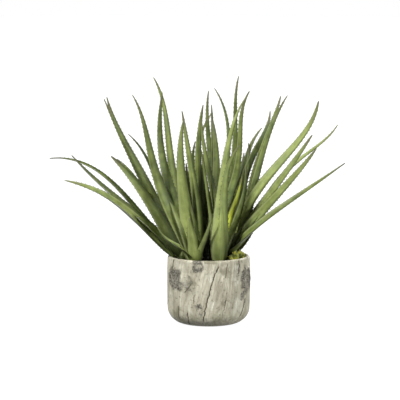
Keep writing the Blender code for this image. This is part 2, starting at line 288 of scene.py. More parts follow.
def draw_arc(bm, pen, radius, height, angle, steps):
    """Spins the pen's vertex about a centre in the section and returns the last vertex."""
    turn, middle = radians(angle), (radius, 0, height)
    made = bmesh.ops.spin(bm, geom=[pen], cent=middle, axis=(0, -1, 0), angle=turn, steps=steps)
    return made["geom_last"][0]


def draw_pot_section(bm):
    """Half a section of the pot, from the middle of its foot round to the middle of its floor."""
    inner = POT_RADIUS - POT_WALL
    bowl = HEEL_RADIUS - POT_WALL
    pen = bm.verts.new((0, 0, 0))
    pen = draw_line(bm, pen, POT_RADIUS - HEEL_RADIUS, 0, steps=7)
    pen = draw_arc(bm, pen, POT_RADIUS - HEEL_RADIUS, HEEL_RADIUS, 90, 34)
    pen = draw_line(bm, pen, POT_RADIUS, POT_HEIGHT - POT_WALL / 2, steps=FLANK_STEPS)
    pen = draw_arc(bm, pen, POT_RADIUS - POT_WALL / 2, POT_HEIGHT - POT_WALL / 2, 180, 14)
    pen = draw_line(bm, pen, inner, POT_FLOOR + bowl, steps=13)
    pen = draw_arc(bm, pen, inner - bowl, POT_FLOOR + bowl, -90, 6)
    draw_line(bm, pen, 0, POT_FLOOR)


def spin_round(bm, steps):
    """Turns the section into a closed body about the upright axis, with its faces outward."""
    geom = bm.verts[:] + bm.edges[:]
    bmesh.ops.spin(
        bm, geom=geom, cent=(0, 0, 0), axis=(0, 0, 1), angle=tau, steps=steps, use_merge=True
    )
    bmesh.ops.remove_doubles(bm, verts=bm.verts, dist=SAME_PLACE)
    bmesh.ops.recalc_face_normals(bm, faces=bm.faces)


pot_bm = bmesh.new()
draw_pot_section(pot_bm)
print("points in the pot's section:", len(pot_bm.verts))
spin_round(pot_bm, ROUND_STEPS)
print("faces of the plain pot:", len(pot_bm.faces))

# %% [markdown]
# ## The pot's relief
#
# The mould for such a pot is taken from real weathered wood. Upright furrows run all round it and
# bend past the knots. A knot has a raised lip, rings inside it and a sunk heart, and it is stained
# grey-brown. Cracks are narrow grooves with dark floors. All of it is one function of the place on
# the wall: the angle, 0 at the front and growing to the right, and the height. It moves each vertex
# of the outer wall in or out, and leaves the knot and crack masks on the mesh for the glaze to
# read, so colour and relief can't drift apart.

# %% Knots, cracks and washes
# Lengths in these tables are in millimetres and angles in degrees. A knot: its angle and height on
# the wall, half its width and half its height, how proud it stands, and how dark its stain is.
Knot = namedtuple("Knot", "angle height wide tall proud stain")
KNOTS = [Knot(*row) for row in (
    (-55, 87, 19, 19, 1.8, 1.0), (-33, 80, 13, 16, 0.8, 0.6), (64, 84, 19, 21, 3.0, 1.0),
    (-15, 113, 10, 12, 1.1, 0.9), (-13, 35, 7, 10, 1.4, 0.9), (53, 56, 7, 9, 0.5, 0.85),
    (118, 60, 14, 16, 1.6, 0.95), (158, 98, 12, 13, 1.1, 0.85), (-150, 44, 15, 18, 1.6, 1.0),
    (-104, 101, 11, 11, 1.0, 0.85), (-96, 30, 7, 11, 0.9, 0.8),
)]

# A crack: the angle and height of its top and of its foot, its bend sideways, half its width and
# its depth.
Crack = namedtuple("Crack", "top_angle top_height foot_angle foot_height bend half depth")
CRACKS = [Crack(*row) for row in (
    (15, 121, -9, 4, -3.0, 1.1, 1.6), (-31, 30, -34, 2, 1.0, 1.1, 1.0),
    (-47, 40, -50, 8, 1.0, 1.1, 0.9), (62, 52, 48, 14, 1.5, 1.3, 1.2),
    (-58, 122, -61, 99, 0.5, 1.2, 1.0), (46, 122, 44, 94, 1.0, 1.2, 1.0),
    (-24, 82, -36, 62, 1.0, 1.0, 0.6), (-21, 62, -22, 44, 0.5, 0.7, 0.5),
    (24, 54, 20, 30, 0.8, 0.8, 0.6), (26, 118, 22, 88, 0.8, 0.8, 0.5),
    (110, 122, 98, 30, 3.0, 1.1, 1.3), (178, 84, 166, 6, -3.0, 1.2, 1.3),
    (-124, 118, -132, 62, 2.5, 1.0, 1.1), (-84, 74, -92, 6, -2.0, 1.0, 1.0),
)]

# A wash: a soft patch of the glaze, by angle, height and half sizes, lighter above 0, darker below.
Wash = namedtuple("Wash", "angle height wide tall tone")
WASHES = [Wash(*row) for row in (
    (-46, 112, 11, 8, 1.0), (45, 38, 19, 16, 0.9), (6, 46, 10, 14, 0.8),
    (40, 96, 9, 20, 0.9), (-66, 48, 9, 13, 0.7), (-26, 38, 9, 15, 0.6),
    (2, 90, 8, 12, 0.5), (21, 104, 12, 13, -0.7), (-20, 84, 12, 16, -0.8),
    (-36, 66, 12, 8, -0.8), (19, 54, 8, 17, -0.8), (-50, 22, 15, 17, -0.9),
    (20, 11, 24, 8, -0.8), (62, 62, 9, 9, -0.6), (-2, 120, 18, 5, -1.0),
    (110, 96, 15, 13, 0.8), (150, 38, 19, 17, -0.7), (-160, 92, 17, 15, 0.8),
    (-120, 48, 17, 15, -0.7), (-92, 88, 11, 12, 0.7), (92, 24, 15, 13, -0.7),
)]
print(f"{len(KNOTS)} knots, {len(CRACKS)} cracks, {len(WASHES)} washes")

# The wall's radius and one degree of it, in millimetres; the grain's slant at the front; how far a
# crack's shade and a knot's carving reach, in their own half sizes.
WALL_MM = POT_RADIUS / MM
ANGLE_MM = radians(1) * WALL_MM
LEAN = 0.22
CRACK_REACH = 2.5
KNOT_REACH = 2.2
# A knot's rings, and in its own half sizes where its lip stands and how wide lip and heart are.
RING_TIGHT, LIP_AT, LIP_WIDE, HEART_WIDE = 17, 0.85, 0.28, 0.42


# %% The carving function
def wrapped(angle):
    """The same turn between -180 and 180 degrees."""
    return (angle + 180) % 360 - 180


def on_wall(angle, height):
    """A place on a wall of unit radius. Noise taken there has no seam at the back."""
    turn = radians(angle)
    return Vector((sin(turn), -cos(turn), height / WALL_MM))


def ragged(angle, height, fineness):
    """Small noise on the wall."""
    return noise.noise(on_wall(angle, height) * fineness)


def patch_at(patch, angle, height):
    """A place's share of the way across a knot or wash, and how far out from its middle it is."""
    across = wrapped(angle - patch.angle) * ANGLE_MM / patch.wide
    up = (height - patch.height) / patch.tall
    away = hypot(across, up)
    if away < 3:
        away += 0.25 * ragged(angle, height, 9) + 0.12 * ragged(angle, height, 23)
    return across, away


def crack_at(crack, angle, height):
    """1 in the middle of a crack, 0.6 at its sides, then fading out on the wall and at its ends."""
    run = (crack.top_height - height) / (crack.top_height - crack.foot_height)
    if not -0.02 < run < 1.02:
        return 0.0
    lean = wrapped(crack.foot_angle - crack.top_angle)
    course = crack.top_angle + lean * run + crack.bend * sin(pi * run)
    course += 1.1 * ragged(crack.top_angle, height, 12) + 0.8 * ragged(crack.top_angle, height, 40)
    half = crack.half * (0.7 + 0.7 * abs(ragged(crack.foot_angle, height, 25)))
    away = abs(wrapped(angle - course)) * ANGLE_MM / half
    fade = min(1.0, 8 * max(0.0, min(run + 0.02, 1.02 - run)))
    return max(0.0, 1 - away / CRACK_REACH) * fade


def grain_push(angle, height):
    """How far the grain leans sideways, in degrees: upright at the sides, slanting at the front."""
    return LEAN * cos(1.5 * radians(angle)) * (height - POT_HEIGHT / MM / 2) / ANGLE_MM


def grain_relief(angle, height, calm):
    """Upright furrows, calmer near a knot, and a slow swell of the wall."""
    place = on_wall(angle, height)
    swell = noise.noise(place * 1.8)
    place.z *= 0.16
    furrow = noise.noise(place * 14) * 0.6 + noise.noise(place * 34) * 0.45
    return calm * furrow + 0.45 * swell


def carve(angle, height):
    """The wall at one place: how proud it stands in millimetres, its stain, rings, crack and wash,
    and how far the grain is pushed sideways, in degrees."""
    proud = stain = rings = dark = wash = 0.0
    push, calm = grain_push(angle, height), 1.0
    for knot in KNOTS:
        across, away = patch_at(knot, angle, height)
        if away > KNOT_REACH:
            continue
        lip = exp(-(((away - LIP_AT) / LIP_WIDE) ** 2))
        heart = exp(-((away / HEART_WIDE) ** 2))
        ripple = sin(RING_TIGHT * away) * max(0.0, 1.25 - away)
        crown = 0.75 * lip + 0.45 * max(0.0, 1 - away)
        proud += knot.proud * (crown - 0.9 * heart + 0.2 * ripple)
        stain = max(stain, knot.stain * min(1.0, max(0.0, 1.35 - away) * 2.2))
        rings = max(rings, ripple)
        calm = min(calm, max(0.25, min(1.0, away - 0.4)))
        push += 3.2 * across * exp(-((away / 1.1) ** 2))
    for crack in CRACKS:
        cut = crack_at(crack, angle, height)
        proud -= crack.depth * min(1.0, 3.5 * max(0.0, cut - 0.6))
        dark = max(dark, cut)
    for patch in WASHES:
        wash += patch.tone * max(0.0, min(1.0, 1.3 - patch_at(patch, angle, height)[1]))
    proud += grain_relief(angle - push, height, calm)
    return proud, stain, rings, dark, wash, push


print("proud at the left knot's lip:", round(carve(-46, 100)[0], 2), "mm")

# %% [markdown]
# The moves fade out on the foot, so that the pot still stands flat, and over the rim, so that the
# inside stays smooth. The masks go onto the mesh as attributes, and so does `grain`, the place on
# the wall with the grain's bend taken out, which the glaze uses to draw its streaks.


# %% Carving the wall
FOOT_PLAIN = 3 * MM
FOOT_FADE = 12 * MM
RIM_FADE = 4 * MM


def flank_bulge(z):
    """How far the flank swells out between the heel and the rim."""
    run = (z - HEEL_RADIUS) / (POT_HEIGHT - POT_WALL / 2 - HEEL_RADIUS)
    return FLANK_BULGE * sin(pi * run) if 0 < run < 1 else 0.0


def carve_wall(bm):
    """Moves the outer wall's vertices and leaves the masks on the mesh."""
    layers = bm.verts.layers
    marks = [layers.float.new(key) for key in ("stain", "rings", "crack", "wash")]
    grain_mark = layers.float_vector.new("grain")
    deepest = proudest = 0.0
    for vert in bm.verts:
        x, y, z = vert.co
        radius = hypot(x, y)
        inside = radius < POT_RADIUS - POT_WALL * 0.45 and z > HEEL_RADIUS
        angle = degrees(atan2(x, -y)) if radius > SAME_PLACE else 0.0
        proud, *masks, push = carve(angle, z / MM)
        for mark, value in zip(marks, masks):
            vert[mark] = 0.0 if inside else value
        turn = radians(angle - push)
        vert[grain_mark] = (radius * sin(turn), -radius * cos(turn), z)
        if inside or radius < POT_RADIUS - HEEL_RADIUS:
            continue
        foot_share = 0.0 if z < FOOT_PLAIN else min(1.0, z / FOOT_FADE)
        rim_share = min(1.0, max(0.0, (POT_HEIGHT - z) / RIM_FADE) * 0.7 + 0.3)
        move = proud * MM * foot_share * rim_share + flank_bulge(z)
        vert.co += vert.normal * move
        deepest, proudest = min(deepest, move), max(proudest, move)
    print(f"carved from {deepest / MM:.2f} to {proudest / MM:.2f} mm")


pot_bm.normal_update()
carve_wall(pot_bm)

# %% [markdown]
# ## The pot's glaze
#
# The glaze is a warm pale grey, matt, with long upright streaks of darker grey-brown, olive shadows
# low down and lighter washed patches. Stains darken the knots and break up at their edges, and the
# cracks are nearly black-brown.


# %% Glaze
def make_glaze():
    """The glaze, from the masks and the bent grain that the wall carries."""
    made, tree, shader = new_material("bark_glaze")
    here = own_place(tree)
    grain = carried(tree, "grain", "Vector")
    wide = use(tree, STREAKS, grain, Fineness=62, Stretch=0.3, Low=0.36, High=0.66)
    fine = use(tree, STREAKS, grain, Fineness=300, Stretch=0.12, Low=0.36, High=0.62)
    cloud = use(tree, PATCHES, here, Scale=75, Detail=5, Low=0.36, High=0.64)
    speck = use(tree, PATCHES, here, Scale=380, Detail=2, Low=0.40, High=0.6)
    pit = use(tree, PATCHES, here, Scale=230, Detail=3, Low=0.6, High=0.68)
    wash = carried(tree, "wash")
    loose = times(tree, cloud, 0.7, -0.35)
    pale = spread(tree, sums(tree, "ADD", wash, loose), 0.15, 1.0)
    deep = spread(tree, sums(tree, "SUBTRACT", loose, wash), 0.15, 1.0)
    low = times(tree, spread(tree, axes(tree, here)["Z"], 0.05, 0.004), cloud)
    greys = [(0, (0.33, 0.305, 0.225)), (0.5, (0.455, 0.43, 0.325)), (1, (0.56, 0.535, 0.415))]
    wall = layered(
        tree,
        ramp(tree, wide, greys),
        (cloud, 0.5, (0.37, 0.36, 0.265)),
        (pale, 0.8, (0.67, 0.655, 0.54)),
        (deep, 0.8, (0.18, 0.168, 0.105)),
        (sums(tree, "SUBTRACT", 1.0, fine), 0.42, (0.19, 0.17, 0.115)),
        (pit, 0.55, (0.11, 0.10, 0.065)),
        (low, 0.4, (0.23, 0.23, 0.12)),
    )
    browns = [(0, (0.028, 0.024, 0.017)), (0.6, (0.085, 0.076, 0.056)), (1, (0.20, 0.185, 0.14))]
    rings = spread(tree, carried(tree, "rings"), 0.3, 0.9)
    knot = layered(tree, ramp(tree, speck, browns), (rings, 0.45, (0.42, 0.40, 0.33)))
    torn = sums(tree, "ADD", carried(tree, "stain"), times(tree, cloud, 0.5, -0.36))
    crack = carried(tree, "crack")
    colour = layered(
        tree,
        wall,
        (spread(tree, torn, 0.2, 0.9), 0.94, knot),
        (spread(tree, crack, 0.1, 0.75), 0.5, (0.17, 0.15, 0.09)),
        (spread(tree, crack, 0.5, 0.72), 0.95, (0.035, 0.028, 0.016)),
    )
    painted(tree, shader, colour, spread(tree, fine, 0, 1, 0.78, 0.6))
    relief = times(tree, speck, 0.4, times(tree, pit, -0.8, fine))
    raised(tree, shader, relief, 0.5 * MM, 0.9)
    return made


finish_piece("pot_bark", pot_bm, make_glaze(), ["pot"])

# %% [markdown]
# ## Soil
#
# The pot is filled to just under its rim with dark potting soil, low and domed. It is spun like the
# pot, its top is roughened with noise, and crumbs are scattered on it: squashed icospheres of 20
# faces each, half sunk. The random choices are seeded, so every run gives the same soil.

# %% Soil bed
GAP = 0.3 * MM
SOIL_RADIUS = POT_RADIUS - POT_WALL - GAP
SOIL_EDGE_TOP = 114 * MM
SOIL_DOME = 2.5 * MM
CRUMBS = 420
SOIL_SEED = 11


def soil_top(x, y):
    """Height of the smooth dome of soil under a point."""
    return SOIL_EDGE_TOP + SOIL_DOME * (1 - (x * x + y * y) / SOIL_RADIUS**2)


def draw_soil_section(bm):
    """Half a section of the soil, a little clear of the pot's inside."""
    corner = HEEL_RADIUS - POT_WALL
    floor = POT_FLOOR + GAP
    pen = bm.verts.new((0, 0, floor))
    pen = draw_line(bm, pen, SOIL_RADIUS - corner, floor)
    pen = draw_arc(bm, pen, SOIL_RADIUS - corner, floor + corner, 90, 5)
    pen = draw_line(bm, pen, SOIL_RADIUS, SOIL_EDGE_TOP)
    draw_line(bm, pen, 0, SOIL_EDGE_TOP, steps=39)


def roughen_soil(bm):
    """Domes the top and gives it lumps and pits."""
    for vert in bm.verts:
        if vert.co.z < SOIL_EDGE_TOP - SAME_PLACE:
            continue
        x, y = vert.co.x, vert.co.y
        edge = min(1.0, (SOIL_RADIUS - hypot(x, y)) / (2 * MM))
        lumps = noise.fractal(Vector((x, y, 0)) * 190, 0.8, 2.1, 4)
        vert.co.z = soil_top(x, y) + edge * 1.3 * MM * lumps


soil_bm = bmesh.new()
draw_soil_section(soil_bm)
spin_round(soil_bm, 128)
roughen_soil(soil_bm)


# %% Soil finish
def make_soil_finish():
    """Dark clods with paler grit, for the bed and the crumbs."""
    made, tree, shader = new_material("potting_soil")
    here = own_place(tree)
    clods = use(tree, PATCHES, here, Scale=160, Detail=5)
    grit = use(tree, PATCHES, here, Scale=900, Detail=2, Low=0.55, High=0.75)
    browns = [(0, (0.010, 0.007, 0.005)), (0.6, (0.040, 0.028, 0.019)), (1, (0.085, 0.06, 0.038))]
    earth = layered(tree, ramp(tree, clods, browns), (grit, 0.5, (0.2, 0.15, 0.09)))
    painted(tree, shader, earth, spread(tree, clods, 0, 1, 0.98, 0.85))
    raised(tree, shader, sums(tree, "ADD", clods, grit), 1.0 * MM)
    return made


soil_finish = make_soil_finish()
finish_piece("soil_bed", soil_bm, soil_finish, ["soil"])


# %% Crumbs and chips
def scatter_crumbs(bm, count, chance):
    """Small squashed lumps, half sunk in the soil's top."""
    for _ in range(count):
        away = (SOIL_RADIUS - 3 * MM) * sqrt(chance.random())
        turn = chance.uniform(0, tau)
        x, y = away * cos(turn), away * sin(turn)
        size = chance.uniform(0.8, 2.4) * MM
        deep, tall = chance.uniform(0.5, 0.9), chance.uniform(0.4, 0.8)
        shape = Matrix.Diagonal((size, size * deep, size * tall, 1))
        spun = Matrix.Rotation(chance.uniform(0, tau), 4, "Z")
        spun = spun @ Matrix.Rotation(chance.uniform(-0.6, 0.6), 4, "X")
        place = Matrix.Translation((x, y, soil_top(x, y) + 0.4 * size))
        bmesh.ops.create_icosphere(bm, subdivisions=1, radius=1, matrix=place @ spun @ shape)


crumb_bm = bmesh.new()
scatter_crumbs(crumb_bm, CRUMBS, random.Random(SOIL_SEED))
finish_piece("soil_crumbs", crumb_bm, soil_finish, crease=40)

# %% [markdown]
# ## Moss
#
# Cushions of yellow-green moss sit on the soil. A cushion is a lumpy ball with its underside cut
# off, thick with tiny pointed leaflets. There are over two thousand of these, so each is a
# three-sided spike of a few faces. One more row of tufts, too small to matter in the CAD, follows
# the inside of the rim, and a few taller ones stand by the foot of the right-hand rosette.

# %% Moss cushions
# A cushion: its place on the soil, and its radii along x, y and z, in millimetres.
MOSS = {
    "moss_right": ((50, 30), (6, 8, 8)),
    "moss_left": ((-26, 6), (5, 6, 5)),
}
MOSS_CUT = -0.15
LEAFLET = 1.5 * MM
CUSHION_LEAFLETS, FRINGE_LEAFLETS, TUFT_LEAFLETS = 420, 60, 160
CUSHION_SEED, FRINGE_SEED, LEAF_SEED = 20, 31, 50


def moss_ball(bm, x, y, radii, chance, leaflets):
    """One lumpy cushion with its leaflets, cut flat underneath."""
    shape = Matrix.Diagonal([r * MM for r in radii] + [1])
    ball = bmesh.ops.create_icosphere(bm, subdivisions=3, radius=1)["verts"]
    for vert in ball:
        vert.co *= 1 + 0.16 * noise.noise(vert.co * 2.6 + Vector((x, y, 0)) * 90)
        vert.co.z = max(vert.co.z, MOSS_CUT)
    low = soil_top(x, y) + 2 * GAP - MOSS_CUT * radii[2] * MM
    bmesh.ops.transform(bm, verts=ball, matrix=Matrix.Translation((x, y, low)) @ shape)
    for vert in chance.choices([v for v in ball if v.co.z > low], k=leaflets):
        add_leaflet(bm, vert.co.copy(), (vert.co - Vector((x, y, low))).normalized(), chance)


def add_leaflet(bm, place, outward, chance):
    """A tiny pointed leaf of moss."""
    away = outward + Vector([chance.uniform(-0.6, 0.6) for _ in range(3)])
    turn = away.to_track_quat("Z", "Y").to_matrix().to_4x4()
    length = LEAFLET * chance.uniform(0.6, 1.3)
    jog = Vector([chance.uniform(-0.5, 0.5) * MM for _ in range(3)])
    at = Matrix.Translation(place + jog) @ turn @ Matrix.Translation((0, 0, length / 3))
    foot, tip = 0.32 * MM, 0.04 * MM
    bmesh.ops.create_cone(
        bm, cap_ends=True, segments=3, radius1=foot, radius2=tip, depth=length, matrix=at
    )


# %% Moss finish
def make_moss_finish():
    """Patches of dark green and yellow-green, with a velvet sheen."""
    made, tree, shader = new_material("moss_green")
    here = own_place(tree)
    clump = use(tree, PATCHES, here, Scale=130, Low=0.35, High=0.65)
    leafy = use(tree, PATCHES, here, Scale=1500, Detail=1, Low=0.3, High=0.7)
    greens = [(0, (0.07, 0.09, 0.011)), (0.5, (0.28, 0.31, 0.03)), (1, (0.58, 0.55, 0.07))]
    cover = layered(tree, ramp(tree, clump, greens), (leafy, 0.4, (0.13, 0.16, 0.02)))
    painted(tree, shader, cover, spread(tree, leafy, 0, 1, 0.75, 0.95))
    shader.inputs["Sheen Weight"].default_value = 0.3
    raised(tree, shader, leafy, 0.3 * MM)
    return made


moss_finish = make_moss_finish()
for number, (node, (place, radii)) in enumerate(MOSS.items()):
    cushion = bmesh.new()
    x, y = (v * MM for v in place)
    moss_ball(cushion, x, y, radii, random.Random(CUSHION_SEED + number), CUSHION_LEAFLETS)
    finish_piece(node + "_cushion", cushion, moss_finish, [node])


# %% Moss along the rim
def moss_fringe(bm, chance, start, end, count):
    """Small cushions that follow the inside of the rim between two compass angles."""
    for number in range(count):
        turn = radians(start + (end - start) * number / (count - 1) + chance.uniform(-2, 2))
        away = SOIL_RADIUS - chance.uniform(3.5, 6.5) * MM
        radii = [chance.uniform(3.0, 4.6), chance.uniform(3.0, 4.6), chance.uniform(6.0, 11.0)]
        x, y = away * cos(turn), away * sin(turn)
        moss_ball(bm, x, y, radii, chance, FRINGE_LEAFLETS)


# Taller tufts by the foot of the right-hand rosette: place, and radii along x, y and z, in mm.
TUFTS = (((47, -22), (7, 5, 17)), ((55, -8), (6.5, 6, 15)), ((39, -30), (5, 5, 9)))

fringe_bm = bmesh.new()
moss_fringe(fringe_bm, random.Random(FRINGE_SEED), -12, 70, 16)
for (x, y), radii in TUFTS:
    moss_ball(fringe_bm, x * MM, y * MM, radii, random.Random(x), TUFT_LEAFLETS)
finish_piece("moss_fringe", fringe_bm, moss_finish)

# %% [markdown]
# ## The shape of a leaf
#
# An aloe leaf is a long thick blade: channelled on its upper face, keeled underneath, widest near
# its root and drawn out to a fine dry tip. Both edges carry small hooked teeth that lean towards
# the tip. The blade starts as a plain open tube, made by one cone operator and cut across by one
# subdivide. Each ring then moves to its place along the leaf's course and takes the leaf's section.
# Rings are bunched where the teeth stand, so a tooth is pulled out of the edge itself, and the
# blade stays one closed skin.

# %% Leaf sizes
SPOKES = 16
ROOT_RISE = 5 * MM
STEM_RADIUS = 9 * MM
ROOT_SPREAD = 0.45 * STEM_RADIUS
ROOT_NARROWING = 0.25
WIDEST_AT = 0.1
TIP_WIDTH = 1.5 * MM
THICKNESS_SHARE = 0.32
LEAST_THICKNESS = 1.3 * MM
CHANNEL_SHARE = 0.16
KEEL_SHARPNESS = 0.7
TANGENT_STEP = 0.001
TOOTH_LENGTH = 2.3 * MM
TOOTH_HALF_BASE = 1.0 * MM
TOOTH_LEAN = 0.9 * MM
TOOTH_PITCH = 7.5 * MM
FIRST_TOOTH = 26 * MM
LAST_TOOTH = 12 * MM
SMALLEST_TOOTH = 0.35
WIDE_BLADE = 10 * MM

# One leaf: the places, in millimetres, that its middle line passes, the last of them its tip; its
# greatest width; the compass angle that its upper face looks towards, in degrees; its tone, 0 deep
# green to 1 yellow-green; how high that face looks, in degrees; and its taper, 1 where it thins
# evenly and less where it stays broad for longer.
Leaf = namedtuple("Leaf", "places width turn tone lift taper", defaults=(20, 0.75))
print("a leaf's ring has", SPOKES, "points")


# %% Course, width and section
def leaf_course(root, leaf):
    """One smooth curve through the root and the leaf's places, as a function of 0..1."""
    points = [root] + [Vector(p) * MM for p in leaf.places]
    reached = [0.0]
    for a, b in zip(points, points[1:]):
        reached.append(reached[-1] + (b - a).length)
    shares = [r / reached[-1] for r in reached]
    fits = [np.polyfit(shares, [p[axis] for p in points], len(leaf.places)) for axis in range(3)]
    return lambda share: Vector([float(np.polyval(fit, share)) for fit in fits]), reached[-1]


def leaf_width(leaf, share):
    """A little narrower at the root, full a tenth of the way up, then drawn out to a fine tip."""
    root = 1 - ROOT_NARROWING * max(0.0, 1 - share / WIDEST_AT) ** 2
    taper = (1 - min(1.0, share)) ** leaf.taper
    return TIP_WIDTH + (leaf.width * MM - TIP_WIDTH) * root * taper


def section_point(spoke, width):
    """One point of the section: its share across, and its height over the channel's floor."""
    turn = tau * spoke / SPOKES
    across = cos(turn)
    edge = CHANNEL_SHARE * width
    if sin(turn) > -0.001:
        return across, edge * abs(across) ** 1.5
    thick = max(THICKNESS_SHARE * width, LEAST_THICKNESS)
    body = 1 - KEEL_SHARPNESS * abs(across) - (1 - KEEL_SHARPNESS) * across**4
    return across, edge * abs(across) - thick * body


def face_vector(leaf):
    """The direction that a leaf's upper face looks towards."""
    turn, lift = radians(leaf.turn), radians(leaf.lift)
    return Vector((cos(turn) * cos(lift), sin(turn) * cos(lift), sin(lift)))


print("section of a 20 mm blade:", [round(section_point(k, 20)[1], 1) for k in range(SPOKES)])


# %% Where the rings stand
def ring_places(length, chance):
    """Shares of the length where rings stand, each with 1 where teeth are pulled out of it."""
    places = [(FIRST_TOOTH * quarter / 4, 0) for quarter in range(4)]
    at = FIRST_TOOTH + chance.uniform(0, 3) * MM
    half = TOOTH_HALF_BASE
    while at < length - LAST_TOOTH:
        pitch = TOOTH_PITCH * chance.uniform(0.8, 1.2)
        places += [(at - half, 0), (at, 1), (at + half, 0), (at + pitch / 2, 0)]
        at += pitch
    places += [(length - 6 * MM, 0), (length - 2 * MM, 0), (length, 0)]
    return [(place / length, tooth) for place, tooth in places]


# %% Bending a tube into a leaf
def plain_tube(bm, rings):
    """An upright open tube of unit radius with its height cut into rings."""
    tall = rings - 1
    bmesh.ops.create_cone(bm, cap_ends=False, segments=SPOKES, radius1=1, radius2=1, depth=tall)
    upright = [e for e in bm.edges if abs(e.verts[0].co.z - e.verts[1].co.z) > 1]
    bmesh.ops.subdivide_edges(bm, edges=upright, cuts=rings - 2, use_grid_fill=True)


def tooth_reach(chance, half_width):
    """How far one tooth stands out and forward."""
    size = min(1.0, SMALLEST_TOOTH + half_width / WIDE_BLADE) * chance.uniform(0.75, 1.15)
    return TOOTH_LENGTH * size, TOOTH_LEAN * size * chance.uniform(0.6, 1.3)


def ring_frame(line, upward, share):
    """Place, across and up directions of the ring at one share of a leaf's course."""
    along = (line(share + TANGENT_STEP) - line(share - TANGENT_STEP)).normalized()
    across = along.cross(upward).normalized()
    return line(share), along, across, across.cross(along)


def bend_leaf(bm, leaf, root, chance):
    """Turns the plain tube into the leaf, and leaves its marks for the finish."""
    line, length = leaf_course(root, leaf)
    places = ring_places(length, chance)
    plain_tube(bm, len(places))
    marks = [bm.verts.layers.float.new(key) for key in ("share", "across", "tone", "tooth")]
    upward = face_vector(leaf)
    lowest = root.z - ROOT_RISE + GAP
    frames = [ring_frame(line, upward, share) for share, _ in places]
    middle = (len(places) - 1) / 2
    # 1 or -1, so that the same flank of every blade faces right, the flank that takes the painted
    # shade.
    turned = 1 if frames[len(frames) // 2][2].x > 0 else -1
    for vert in bm.verts:
        number = round(vert.co.z + middle)
        spoke = round(atan2(vert.co.y, vert.co.x) / tau * SPOKES) % SPOKES
        share, tooth = places[number]
        centre, along, sideways, up = frames[number]
        width = leaf_width(leaf, share)
        across, height = section_point(spoke, width)
        vert.co = centre + sideways * (across * width / 2) + up * height
        pulled = tooth and spoke % (SPOKES // 2) == 0
        if pulled:
            out, lean = tooth_reach(chance, width / 2)
            vert.co += sideways * across * out + along * lean
        vert.co.z = max(vert.co.z, lowest)
        for mark, value in zip(marks, (share, across * turned, leaf.tone, float(pulled))):
            vert[mark] = value
    return length


def close_ends(bm, tip):
    """Draws the tip's ring to a point and fills the root's."""
    rims = [e for e in bm.edges if e.is_boundary]
    near = [e for e in rims if (e.verts[0].co - tip).length < 4 * TIP_WIDTH]
    ring = list({v for e in near for v in e.verts})
    bmesh.ops.edgeloop_fill(bm, edges=[e for e in rims if e not in set(near)])
    bmesh.ops.pointmerge(bm, verts=ring, merge_co=tip)


def blade_map(bm, length):
    """A map in metres: across the blade, and along it."""
    sheet = bm.loops.layers.uv.new("blade")
    share, across = (bm.verts.layers.float[key] for key in ("share", "across"))
    for face in bm.faces:
        for loop in face.loops:
            loop[sheet].uv = (loop.vert[across] * 0.01, loop.vert[share] * length)


def make_leaf(leaf, root, chance):
    """One closed leaf in a bmesh of its own."""
    bm = bmesh.new()
    length = bend_leaf(bm, leaf, root, chance)
    close_ends(bm, Vector(leaf.places[-1]) * MM)
    bmesh.ops.recalc_face_normals(bm, faces=bm.faces)
    blade_map(bm, length)
    return bm


# %% [markdown]
# ## The leaf's skin
#
# The skin is waxy and satin. Its colour runs from a deep green to a bright yellow-green from leaf
# to leaf, with bluish patches of bloom. Each blade is darkened by painted shade low down, near the
# stem, and dries to grey-brown at its tip. Fine veins run along it. Painted shade darkens one flank
# and painted light pales the other towards its edge, which keeps blades apart where they overlap.
# The margins are thin dark lines, partly the blade's own edge and partly painted shade, and the
# teeth are brown. Low in the middle of the clump painted shade makes the green nearly black.

# %% Leaf finish
LEAF_GREENS = [(0, (0.016, 0.023, 0.005)), (0.25, (0.068, 0.089, 0.019))]
LEAF_GREENS += [(0.5, (0.172, 0.210, 0.056)), (0.96, (0.37, 0.435, 0.135)), (1, (0.62, 0.69, 0.07))]


def painted_clump_shade(tree, here):
    """Painted shade: 1 low down in the middle of the clump, falling to 0 at its outside, in metres.
    """
    x, y, z = axes(tree, here)
    away = sums(tree, "SQRT", times(tree, x, x, times(tree, y, y)))
    near = times(tree, spread(tree, away, 0.062, 0.035), spread(tree, y, -0.045, -0.012))
    low = times(tree, spread(tree, z, 0.30, 0.17), spread(tree, x, 0.042, 0.022))
    return times(tree, near, low)


def painted_flanks_and_teeth(tree):
    """Painted shade on one flank, painted light on the other, dark margins and the brown teeth."""
    across = carried(tree, "across")
    margin_and_painted_shade = spread(tree, sums(tree, "ABSOLUTE", across), 0.88, 0.98)
    # Painted shade on the right flank, and painted light pales the left flank towards its edge.
    yield spread(tree, across, 0.1, 0.85), 0.7, (0.030, 0.042, 0.007)
    yield spread(tree, across, -0.45, -0.85), 0.35, (0.38, 0.42, 0.20)
    # A dark line at both margins, partly the blade's own edge and partly painted shade where blades
    # overlap.
    yield margin_and_painted_shade, 0.8, (0.03, 0.04, 0.01)
    yield carried(tree, "tooth"), 0.85, (0.05, 0.035, 0.015)


